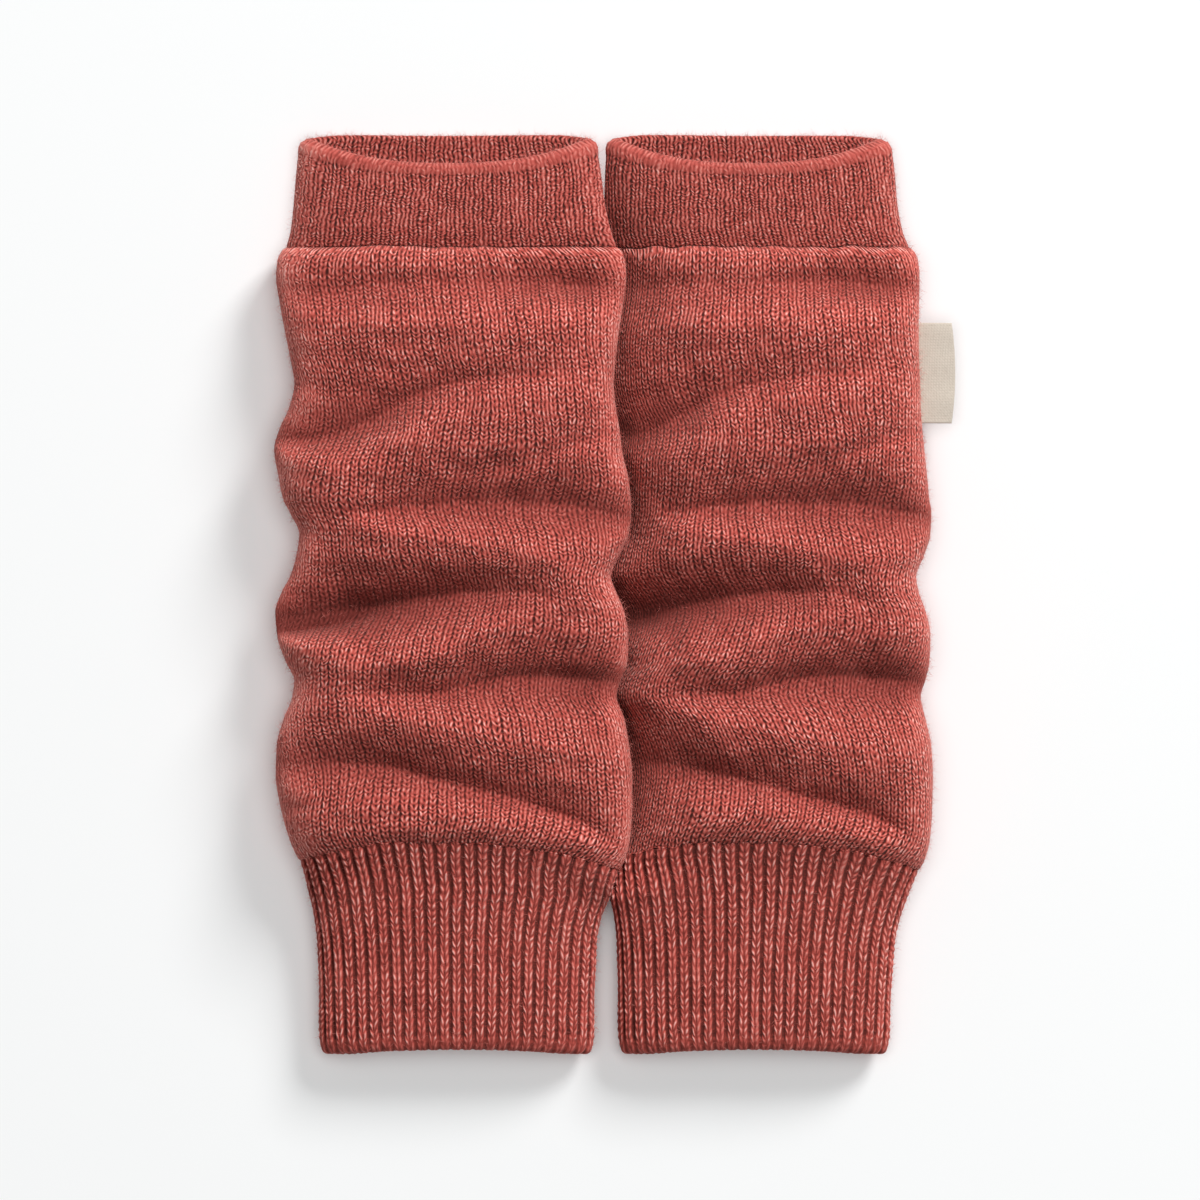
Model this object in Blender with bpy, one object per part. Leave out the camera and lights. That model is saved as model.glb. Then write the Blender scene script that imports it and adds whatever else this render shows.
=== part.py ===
"""Pair of knitted baby leg warmers, laid flat side by side.

Each leg warmer is a tube of three knitted pieces: a plain double top cuff, a slouched stocking-stitch
body closed by one side seam, and a ribbed ankle cuff. The left one's inner side lies on the right one's.
A folded woven label, bare, is caught in the right body's outer side seam.

World frame: +X to the right, +Y towards the top cuffs, +Z up from the surface the pair lies on, in metres.
The origin is under the middle of the pair. Stations and widths are on a drawing grid of 0.27 mm squares,
x to the right and y down the legs; heights, depths and walls are in millimetres.
"""

from collections import namedtuple

import bmesh
import bpy
import numpy as np

GRID = 0.00027  # one grid square, metres
MM = 0.001
MID_X, MID_Y = 615.0, 594.0  # grid point over the origin

WALL_CUFF = 2.4  # two layers of the folded top cuff
WALL_BODY = 2.0  # body cloth, measured upright
WALL_RIB = 2.2
SEAM_GAP = 0.3  # between pieces that meet

RING_UP = 16  # spans over the top of a ring, from side to side
RING_UNDER = (0.985, 0.94, 0.87, 0.76, 0.45, 0.0, -0.45, -0.76, -0.87, -0.94, -0.985)
CROWN_POWER = 3.4  # how flat the top of a section is
SIDE_HEIGHT = 0.44  # height of a free side's widest point, as a share of the crown
SIDE_ROUND = 30.0  # grid width over which a free side rounds under

OVER_HEIGHT = 13.0  # the left leg's inner side, where it lies on the right leg
OVER_REACH = 47.0  # grid width over which it leaves the surface
UNDER_HEIGHT = 2.9  # the right leg's inner side, pressed flat under it
LEG_STEP = 300.0  # the right leg's folds repeat the left leg's, this far over

MOUTH_DIP = 25.0  # the top opening's front edge hangs this far below its sides
MOUTH_BACK = 4.0  # and its back edge stands this far above them
MOUTH_POWER = 2.6
MOUTH_ROWS = (140.0, 244.0)  # from the opening to where the dip has died out
ARCH_RISE = 22.0  # the ankle seam's rise at the middle of the front
ARCH_POWER = 2.2
ARCH_TILT = 5.0  # it is this much higher at the left side, and lower at the right
ARCH_ROWS = (785.0, 863.0, 960.0)  # where the arch starts, is whole, and has died out
HEM_RISE, HEM_ROWS = 4.0, (985.0, 1052.0)  # the hem bows up a little in the middle

LABEL_ROWS = (324.0, 424.0)
LABEL_EDGE = 954.5  # outer, folded edge
LABEL_BOW = 3.5  # how far that edge bows out at mid length
LABEL_THICK = 1.1  # two layers of tape
LABEL_HEIGHT = 10.4  # of its middle at the seam
LABEL_DROOP = 1.8  # at its outer edge

# A section of both legs: y, the left leg's sides, the right leg's sides, and the crown's height in mm.
Section = namedtuple("Section", "y left_out left_in right_in right_out crown")

CUFF_SECTIONS = [
    Section(140.0, 307.0, 591.0, 613.0, 881.0, 12.5),
    Section(145.0, 302.5, 595.0, 608.5, 886.5, 13.0),
    Section(154.0, 299.5, 597.5, 606.5, 891.0, 13.5),
    Section(175.0, 297.0, 601.0, 605.0, 894.0, 14.2),
    Section(205.0, 294.5, 605.0, 604.0, 896.5, 14.8),
    Section(232.0, 291.5, 611.0, 604.0, 901.5, 15.2),
    Section(248.4, 286.6, 617.2, 606.4, 908.8, 14.4),
]
BODY_SECTIONS = [
    Section(249.6, 286.4, 617.4, 606.4, 909.0, 14.6),
    Section(253.4, 282.0, 621.5, 610.0, 913.5, 17.2),
    Section(261.0, 279.0, 624.5, 612.5, 916.5, 20.2),
    Section(278.0, 277.5, 626.0, 614.0, 918.0, 23.0),
    Section(305.0, 281.5, 623.0, 611.0, 917.5, 25.0),
    Section(335.0, 287.0, 618.5, 607.0, 917.0, 26.0),
    Section(365.0, 293.0, 615.0, 604.0, 917.5, 26.0),
    Section(385.0, 296.0, 613.5, 602.5, 918.5, 26.5),
    Section(408.0, 291.0, 615.5, 604.5, 919.0, 27.0),
    Section(430.0, 281.0, 619.5, 608.5, 920.5, 27.0),
    Section(450.0, 276.0, 621.5, 610.5, 922.5, 27.5),
    Section(478.0, 280.5, 628.0, 616.5, 925.5, 27.5),
    Section(500.0, 285.0, 630.5, 619.0, 927.5, 27.5),
    Section(512.0, 291.0, 631.0, 619.5, 929.5, 27.5),
    Section(535.0, 301.0, 628.5, 617.0, 928.5, 28.0),
    Section(556.0, 298.0, 619.0, 608.0, 922.0, 28.0),
    Section(577.0, 291.5, 611.0, 600.5, 914.5, 27.5),
    Section(592.0, 283.5, 616.0, 605.0, 917.0, 27.5),
    Section(612.0, 277.0, 624.0, 613.0, 924.0, 27.5),
    Section(636.0, 279.0, 628.0, 617.0, 928.5, 28.0),
    Section(662.0, 288.0, 627.0, 616.0, 927.5, 28.0),
    Section(680.0, 296.0, 621.0, 610.0, 923.5, 27.5),
    Section(696.0, 294.0, 616.5, 605.5, 919.0, 27.5),
    Section(718.0, 285.5, 624.0, 613.0, 923.5, 28.0),
    Section(746.0, 278.5, 629.0, 618.0, 929.5, 28.0),
    Section(775.0, 277.5, 632.0, 621.0, 931.0, 27.4),
    Section(803.0, 281.5, 632.0, 621.0, 930.5, 26.4),
    Section(828.0, 287.0, 630.5, 619.5, 929.0, 25.6),
    Section(845.0, 292.0, 627.5, 616.0, 926.0, 25.0),
    Section(855.0, 296.0, 624.0, 612.5, 922.5, 24.0),
    Section(862.4, 300.2, 619.4, 608.4, 918.0, 22.8),
]
RIB_SECTIONS = [
    Section(863.6, 301.4, 618.2, 608.0, 917.0, 22.6),
    Section(874.0, 305.5, 614.5, 607.0, 912.0, 21.2),
    Section(892.0, 310.0, 609.0, 609.0, 905.5, 19.2),
    Section(915.0, 315.0, 600.5, 614.0, 898.5, 17.6),
    Section(945.0, 319.0, 595.5, 617.5, 892.5, 16.2),
    Section(1000.0, 320.5, 594.0, 618.5, 889.5, 14.8),
    Section(1040.0, 321.0, 593.0, 619.5, 887.5, 13.8),
    Section(1048.0, 322.5, 591.5, 621.0, 886.0, 13.0),
    Section(1052.0, 326.0, 588.0, 624.5, 882.5, 12.0),
]

# A fold across the front: the sharpness of its upper and lower slopes, near 1 creased and near 2 soft, and its stops
# from left to right, at x, with the trough's y, its depth in mm, and how far its slopes reach.
Fold = namedtuple("Fold", "name upper lower stops")
Stop = namedtuple("Stop", "x y depth above below")

FOLDS = [
    Fold("under_cuff", 1.6, 1.7, [
        Stop(262, 290, 3.3, 20, 18), Stop(300, 292, 3.7, 22, 22), Stop(340, 290, 4.2, 24, 28),
        Stop(380, 288, 3.7, 22, 32), Stop(430, 286, 2.6, 20, 32), Stop(480, 285, 3.4, 20, 30),
        Stop(530, 285, 5.5, 24, 25), Stop(575, 287, 6.5, 26, 22), Stop(605, 289, 4.6, 24, 18),
        Stop(640, 292, 3.3, 22, 16)]),
    Fold("shallow", 1.8, 1.8, [
        Stop(280, 354, 0.5, 18, 14), Stop(340, 352, 1.1, 20, 14), Stop(400, 350, 0.8, 20, 14),
        Stop(440, 348, 0.3, 18, 14), Stop(500, 346, 0.0, 18, 14)]),
    Fold("upper_wedge", 1.15, 1.7, [
        Stop(262, 438, 6.3, 44, 12), Stop(300, 440, 6.3, 56, 14), Stop(340, 434, 6.3, 62, 22),
        Stop(380, 416, 5.8, 50, 26), Stop(430, 391, 4.2, 36, 26), Stop(480, 380, 2.5, 28, 22),
        Stop(530, 375, 1.6, 24, 20), Stop(575, 372, 0.7, 20, 18), Stop(600, 370, 0.0, 18, 18)]),
    Fold("right_diagonal", 1.6, 1.8, [
        Stop(430, 478, 0.0, 18, 10), Stop(480, 472, 0.8, 20, 10), Stop(530, 462, 2.0, 22, 12),
        Stop(575, 446, 2.4, 22, 14), Stop(605, 434, 1.7, 18, 14), Stop(640, 420, 0.7, 12, 12)]),
    Fold("middle", 1.3, 1.7, [
        Stop(310, 516, 0.0, 20, 14), Stop(345, 514, 0.8, 24, 16), Stop(380, 510, 3.0, 28, 19),
        Stop(430, 506, 5.4, 38, 26), Stop(480, 503, 5.8, 44, 33), Stop(530, 504, 6.3, 42, 34),
        Stop(575, 507, 6.6, 40, 38), Stop(605, 513, 6.6, 36, 30), Stop(640, 519, 5.7, 34, 22)]),
    Fold("deep", 1.25, 1.6, [
        Stop(262, 631, 10.6, 48, 8), Stop(300, 627, 11.0, 52, 11), Stop(340, 619, 10.6, 52, 20),
        Stop(380, 606, 9.2, 39, 36), Stop(430, 597, 7.4, 35, 38), Stop(480, 592, 5.9, 31, 34),
        Stop(530, 592, 3.0, 30, 30), Stop(560, 600, 1.8, 28, 26), Stop(590, 610, 0.5, 22, 20),
        Stop(610, 620, 0.0, 18, 16)]),
    Fold("lower_right", 1.25, 1.7, [
        Stop(320, 696, 0.0, 20, 12), Stop(345, 694, 0.8, 22, 14), Stop(380, 692, 2.9, 26, 18),
        Stop(430, 693, 4.2, 24, 22), Stop(480, 682, 5.5, 38, 32), Stop(530, 675, 6.6, 40, 42),
        Stop(575, 678, 7.7, 42, 44), Stop(605, 681, 7.5, 36, 30), Stop(640, 684, 6.6, 30, 16)]),
    Fold("lowest", 1.3, 1.7, [
        Stop(262, 766, 4.0, 42, 18), Stop(300, 764, 4.8, 46, 26), Stop(340, 762, 5.7, 40, 34),
        Stop(380, 765, 6.1, 35, 32), Stop(430, 777, 5.4, 32, 26), Stop(480, 790, 4.8, 32, 24),
        Stop(530, 805, 4.6, 42, 21), Stop(575, 821, 4.0, 42, 15), Stop(605, 835, 1.5, 30, 11),
        Stop(625, 846, 0.0, 22, 10)]),
    Fold("low_left", 1.8, 1.8, [
        Stop(265, 806, 0.9, 12, 9), Stop(290, 808, 1.2, 12, 9), Stop(320, 806, 0.5, 10, 9),
        Stop(340, 804, 0.0, 10, 9)]),
]
FOLD_ROWS = (250.0, 266.0, 838.0, 860.0)  # folds fade out towards both seams
FOLD_FLOOR = 0.15  # share of a section's rise that the deepest fold leaves
CREASE_SPREAD = 8.0  # grid width that sections this far apart spread a crease over

KNIT = (0.392, 0.089, 0.070, 1.0)
KNIT_RIB = (0.345, 0.075, 0.060, 1.0)
TAPE = (0.62, 0.55, 0.46, 1.0)


def step(value, low, high):
    """0 below low, 1 above high, and smooth between."""
    share = np.clip((value - low) / (high - low), 0.0, 1.0)
    return share * share * (3.0 - 2.0 * share)


def through(rows, key, column, at):
    """The column's value at `at`, on a smooth curve through the rows that doesn't overshoot them."""
    xs = np.array([getattr(row, key) for row in rows], float)
    vs = np.array([getattr(row, column) for row in rows], float)
    widths = np.diff(xs)
    slopes = np.diff(vs) / widths
    tangents = np.zeros(len(xs))
    tangents[0], tangents[-1] = slopes[0], slopes[-1]
    for i in range(1, len(xs) - 1):
        if slopes[i - 1] * slopes[i] > 0:
            w1, w2 = 2 * widths[i] + widths[i - 1], widths[i] + 2 * widths[i - 1]
            tangents[i] = (w1 + w2) / (w1 / slopes[i - 1] + w2 / slopes[i])
    at = np.clip(np.asarray(at, float), xs[0], xs[-1])
    k = np.clip(np.searchsorted(xs, at, side="right") - 1, 0, len(xs) - 2)
    t = (at - xs[k]) / widths[k]
    return (
        (2 * t**3 - 3 * t**2 + 1) * vs[k]
        + (t**3 - 2 * t**2 + t) * widths[k] * tangents[k]
        + (3 * t**2 - 2 * t**3) * vs[k + 1]
        + (t**3 - t**2) * widths[k] * tangents[k + 1]
    )


def fold_depth(x, y):
    """How far the folds take the front down, in mm, at x and y of the left leg."""
    total = np.zeros(np.broadcast(x, y).shape)
    for fold in FOLDS:
        first, last = fold.stops[0], fold.stops[-1]
        trough = through(fold.stops, "x", "y", x)
        depth = through(fold.stops, "x", "depth", x)
        above = (trough - y) / np.hypot(through(fold.stops, "x", "above", x), CREASE_SPREAD)
        below = (y - trough) / np.hypot(through(fold.stops, "x", "below", x), CREASE_SPREAD)
        away = np.where(above > 0, np.abs(above) ** fold.upper, np.abs(below) ** fold.lower)
        runs = ((x >= first.x) | (first.depth > 0)) & ((x <= last.x) | (last.depth > 0))
        one = np.where(runs, depth * np.exp(-away), 0.0)
        total = np.maximum(total, one) + 0.35 * np.minimum(total, one)
    r0, r1, r2, r3 = FOLD_ROWS
    return total * step(y, r0, r1) * (1.0 - step(y, r2, r3))


def seam_shift(y, t, upper):
    """How far down the leg a point is moved, on the grid: the mouth's dip, and the ankle seam's arch."""
    mouth = 1.0 - step(y, *MOUTH_ROWS)
    if upper:
        dip = MOUTH_DIP * (1.0 - np.abs(t) ** MOUTH_POWER)
        rise = ARCH_RISE * (1.0 - np.abs(t) ** ARCH_POWER)
    else:
        dip = -MOUTH_BACK * (1.0 - t * t)
        rise = 0.0
    start, whole, end = ARCH_ROWS
    arch = step(y, start, whole) if y <= whole else 1.0 - step(y, whole, end)
    hem = HEM_RISE * (1.0 - t * t) * step(y, *HEM_ROWS)
    return dip * mouth + (ARCH_TILT * t - rise) * arch - hem


def ring(row, right_leg, wall):
    """One ring of points in metres: over the top from left to right, then back underneath.

    With wall 0 it is the outside of the cloth; the inside is the same section drawn in by the wall.
    """
    low, high = (row.right_in, row.right_out) if right_leg else (row.left_out, row.left_in)
    lap = step(row.left_in - row.right_in, -8.0, 12.0)
    inset = wall * MM / GRID
    crown, floor = row.crown - wall, wall
    left_z = right_z = SIDE_HEIGHT * row.crown
    left_power = right_power = 0.5
    left_reach = right_reach = SIDE_ROUND
    left_lean = right_lean = 0.0
    left_in = right_in = inset
    if right_leg:
        left_z += (UNDER_HEIGHT + 0.35 * wall - left_z) * lap
        left_power += 0.5 * lap
        left_in *= 1.0 + 0.3 * lap
    else:
        right_z += (OVER_HEIGHT - right_z) * lap
        right_reach += (OVER_REACH - right_reach) * lap
        right_lean = lap
        right_in *= 1.0 + 0.3 * lap
    low, high = low + left_in, high - right_in
    middle, half = (low + high) / 2, (high - low) / 2

    points = []
    for k in range(RING_UP + 1):
        t = np.sin(np.pi / 2 * (2.0 * k / RING_UP - 1.0))
        side = left_z + (right_z - left_z) * (t + 1) / 2
        power = left_power if t < 0 else right_power
        rise = (crown - side) * max(0.0, 1.0 - abs(t) ** CROWN_POWER) ** power
        x = middle + half * t
        y = row.y + seam_shift(row.y, t, True)
        if BODY_SECTIONS[0].y < row.y < BODY_SECTIONS[-1].y:
            depth = float(fold_depth(np.float64(x - LEG_STEP * right_leg), np.float64(row.y)))
            rise *= max(FOLD_FLOOR, 1.0 - depth / (crown - side))
        points.append((x, y, side + rise))
    for t in RING_UNDER:
        side, reach, lean = (right_z, right_reach - right_in, right_lean) if t > 0 else (left_z, left_reach - left_in, left_lean)
        s = min(1.0, max(0.0, (abs(t) - 1.0 + reach / half) / (reach / half)))
        lift = (1.0 - np.sqrt(1.0 - s * s)) * (1.0 - lean) + s * lean
        points.append((middle + half * t, row.y + seam_shift(row.y, t, False), floor + (side - floor) * lift))
    return [((x - MID_X) * GRID, (MID_Y - y) * GRID, z * MM) for x, y, z in points]


def material(name, colour, roughness):
    made = bpy.data.materials.new(name)
    made.use_nodes = True
    shader = made.node_tree.nodes["Principled BSDF"]
    shader.inputs["Base Color"].default_value = colour
    shader.inputs["Roughness"].default_value = roughness
    shader.inputs["Metallic"].default_value = 0.0
    made.diffuse_color = colour
    return made


def place(name, mesh_bm, finish):
    bmesh.ops.recalc_face_normals(mesh_bm, faces=mesh_bm.faces)
    mesh = bpy.data.meshes.new(name)
    mesh_bm.to_mesh(mesh)
    mesh_bm.free()
    mesh.materials.append(finish)
    mesh.shade_smooth()
    made = bpy.data.objects.new(name, mesh)
    bpy.context.scene.collection.objects.link(made)
    return made


def tube(name, sections, right_leg, wall, finish):
    """A knitted tube: outer rings, inner rings, and a band of faces round each open end."""
    bm = bmesh.new()
    outer = [[bm.verts.new(p) for p in ring(row, right_leg, 0.0)] for row in sections]
    inner = [[bm.verts.new(p) for p in ring(row, right_leg, wall)] for row in sections]
    count = len(outer[0])
    loops = outer + inner[::-1]
    for first, second in zip(loops, loops[1:] + loops[:1]):
        for k in range(count):
            n = (k + 1) % count
            bm.faces.new((first[k], first[n], second[n], second[k]))
    return place(name, bm, finish)


def label(name, finish):
    """A strip of tape folded double, its ends caught in the seam and its fold outwards, drooping a little."""
    bm = bmesh.new()
    rows, columns = 8, 5
    grid = []
    for i in range(rows + 1):
        share = i / rows
        y = LABEL_ROWS[0] + (LABEL_ROWS[1] - LABEL_ROWS[0]) * share
        seam = float(through(BODY_SECTIONS, "y", "right_out", y)) + SEAM_GAP * MM / GRID
        edge = LABEL_EDGE - LABEL_BOW * (2 * share - 1) ** 2
        line = []
        for j in range(columns + 1):
            out = j / columns
            x = seam + (edge - seam) * out
            z = LABEL_HEIGHT - LABEL_DROOP * out * out
            line.append((x, y, z))
        grid.append(line)

    def vert(x, y, z):
        return bm.verts.new(((x - MID_X) * GRID, (MID_Y - y) * GRID, z * MM))

    # Around each row: along the upper layer, round the folded edge, and back along the lower layer.
    half = LABEL_THICK / 2
    rings = []
    for line in grid:
        upper = [vert(x, y, z + half) for x, y, z in line[:-1]]
        x, y, z = line[-1]
        nose = [vert(x - 0.35 * half * MM / GRID, y, z + 0.8 * half), vert(x, y, z), vert(x - 0.35 * half * MM / GRID, y, z - 0.8 * half)]
        lower = [vert(x, y, z - half) for x, y, z in line[-2::-1]]
        rings.append(upper + nose + lower)
    count = len(rings[0])
    for first, second in zip(rings, rings[1:]):
        for k in range(count):
            n = (k + 1) % count
            bm.faces.new((first[k], first[n], second[n], second[k]))
    for end in (rings[0], rings[-1]):
        for k in range(columns):
            a, b, c, d = end[k], end[k + 1], end[count - 2 - k], end[count - 1 - k]
            bm.faces.new((a, b, c, d) if b is not c else (a, b, d))
        bm.faces.new((end[columns], end[columns + 1], end[columns + 2]))
    return place(name, bm, finish)


def build():
    for old in list(bpy.data.objects):
        bpy.data.objects.remove(old, do_unlink=True)
    for side, right_leg in (("left", False), ("right", True)):
        tube(side + "_top_cuff", CUFF_SECTIONS, right_leg, WALL_CUFF, material(side + "_cuff_knit", KNIT, 0.9))
        tube(side + "_body", BODY_SECTIONS, right_leg, WALL_BODY, material(side + "_body_knit", KNIT, 0.9))
        tube(side + "_rib_cuff", RIB_SECTIONS, right_leg, WALL_RIB, material(side + "_rib_knit", KNIT_RIB, 0.9))
    label("label", material("label_tape", TAPE, 0.8))


build()
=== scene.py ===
"""Looks of the pair of knitted baby leg warmers: knitted shells on the frame's solids, bare woven tab, floor, light, camera."""

from collections import namedtuple

import bpy
import numpy as np
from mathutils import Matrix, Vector


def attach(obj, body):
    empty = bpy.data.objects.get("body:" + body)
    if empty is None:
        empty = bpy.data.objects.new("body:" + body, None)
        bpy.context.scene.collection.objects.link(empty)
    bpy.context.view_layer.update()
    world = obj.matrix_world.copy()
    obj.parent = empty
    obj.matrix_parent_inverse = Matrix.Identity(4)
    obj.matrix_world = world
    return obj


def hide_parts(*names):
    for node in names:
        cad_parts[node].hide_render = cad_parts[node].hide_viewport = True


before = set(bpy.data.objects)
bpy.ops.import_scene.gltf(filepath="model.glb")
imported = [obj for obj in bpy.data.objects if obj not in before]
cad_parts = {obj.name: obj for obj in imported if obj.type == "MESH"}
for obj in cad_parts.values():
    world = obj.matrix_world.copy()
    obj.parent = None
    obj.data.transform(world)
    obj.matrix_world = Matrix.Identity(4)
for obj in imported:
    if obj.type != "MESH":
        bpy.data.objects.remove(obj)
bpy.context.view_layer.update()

GRID = 0.27  # millimetres in a grid square; tables are on this grid, x to the right and y down the legs
MID_X, MID_Y = 615.0, 594.0  # grid point over the origin

WALL_CUFF, WALL_BODY, WALL_RIB = 2.4, 2.0, 2.2  # mm
CROWN_POWER = 3.4
SIDE_HEIGHT = 0.44
SIDE_ROUND = 30.0
OVER_HEIGHT = 13.0
OVER_REACH = 47.0
UNDER_HEIGHT = 2.9
LEG_STEP = 300.0

MOUTH_DIP, MOUTH_BACK, MOUTH_POWER = 25.0, 4.0, 2.6
MOUTH_ROWS = (140.0, 244.0)
ARCH_RISE, ARCH_POWER, ARCH_TILT = 22.0, 2.2, 5.0
ARCH_ROWS = (785.0, 864.4, 960.0)

LABEL_ROWS = (324.0, 424.0)
LABEL_EDGE, LABEL_BOW, LABEL_THICK = 954.5, 3.5, 1.1
LABEL_HEIGHT, LABEL_DROOP = 10.4, 1.8
TAPE_THREADS = 2.4  # threads in a millimetre

Section = namedtuple("Section", "y left_out left_in right_in right_out crown")

CUFF_SECTIONS = [
    Section(140.0, 307.0, 591.0, 613.0, 881.0, 12.5),
    Section(145.0, 302.5, 595.0, 608.5, 886.5, 13.0),
    Section(154.0, 299.5, 597.5, 606.5, 891.0, 13.5),
    Section(175.0, 297.0, 601.0, 605.0, 894.0, 14.2),
    Section(205.0, 294.5, 605.0, 604.0, 896.5, 14.8),
    Section(232.0, 291.5, 611.0, 604.0, 901.5, 15.2),
    Section(250.4, 286.4, 617.4, 606.4, 909.0, 14.4),
]
BODY_SECTIONS = [
    Section(247.6, 287.0, 616.4, 605.8, 908.4, 14.2),
    Section(253.4, 282.0, 621.5, 610.0, 913.5, 17.2),
    Section(261.0, 279.0, 624.5, 612.5, 916.5, 20.2),
    Section(278.0, 277.5, 626.0, 614.0, 918.0, 23.0),
    Section(305.0, 281.5, 623.0, 611.0, 917.5, 25.0),
    Section(335.0, 287.0, 618.5, 607.0, 917.0, 26.0),
    Section(365.0, 293.0, 615.0, 604.0, 917.5, 26.0),
    Section(385.0, 296.0, 613.5, 602.5, 918.5, 26.5),
    Section(408.0, 291.0, 615.5, 604.5, 919.0, 27.0),
    Section(430.0, 281.0, 619.5, 608.5, 920.5, 27.0),
    Section(450.0, 276.0, 621.5, 610.5, 922.5, 27.5),
    Section(478.0, 280.5, 628.0, 616.5, 925.5, 27.5),
    Section(500.0, 285.0, 630.5, 619.0, 927.5, 27.5),
    Section(512.0, 291.0, 631.0, 619.5, 929.5, 27.5),
    Section(535.0, 301.0, 628.5, 617.0, 928.5, 28.0),
    Section(556.0, 298.0, 619.0, 608.0, 922.0, 28.0),
    Section(577.0, 291.5, 611.0, 600.5, 914.5, 27.5),
    Section(592.0, 283.5, 616.0, 605.0, 917.0, 27.5),
    Section(612.0, 277.0, 624.0, 613.0, 924.0, 27.5),
    Section(636.0, 279.0, 628.0, 617.0, 928.5, 28.0),
    Section(662.0, 288.0, 627.0, 616.0, 927.5, 28.0),
    Section(680.0, 296.0, 621.0, 610.0, 923.5, 27.5),
    Section(696.0, 294.0, 616.5, 605.5, 919.0, 27.5),
    Section(718.0, 285.5, 624.0, 613.0, 923.5, 28.0),
    Section(746.0, 278.5, 629.0, 618.0, 929.5, 28.0),
    Section(775.0, 277.5, 632.0, 621.0, 931.0, 27.4),
    Section(803.0, 281.5, 632.0, 621.0, 930.5, 26.4),
    Section(828.0, 287.0, 630.5, 619.5, 929.0, 25.6),
    Section(845.0, 292.0, 627.5, 616.0, 926.0, 25.0),
    Section(855.0, 296.0, 624.0, 612.5, 922.5, 24.0),
    Section(864.4, 300.6, 618.8, 608.0, 917.4, 22.4),
]
RIB_SECTIONS = [
    Section(861.4, 301.2, 618.4, 608.0, 917.2, 22.8),
    Section(874.0, 305.5, 614.5, 607.0, 912.0, 21.2),
    Section(892.0, 310.0, 609.0, 609.0, 905.5, 19.2),
    Section(915.0, 315.0, 600.5, 614.0, 898.5, 17.6),
    Section(945.0, 319.0, 595.5, 617.5, 892.5, 16.2),
    Section(1000.0, 320.5, 594.0, 618.5, 889.5, 14.8),
    Section(1040.0, 321.0, 593.0, 619.5, 887.5, 13.8),
    Section(1048.0, 322.5, 591.5, 621.0, 886.0, 13.0),
    Section(1052.0, 326.0, 588.0, 624.5, 882.5, 12.0),
]

# A fold across the front: how sharp its upper and lower slopes are, and stops from left to right with the trough's y,
# its depth in mm, and the reach of its slopes.
Fold = namedtuple("Fold", "name upper lower stops")
Stop = namedtuple("Stop", "x y depth above below")

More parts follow.
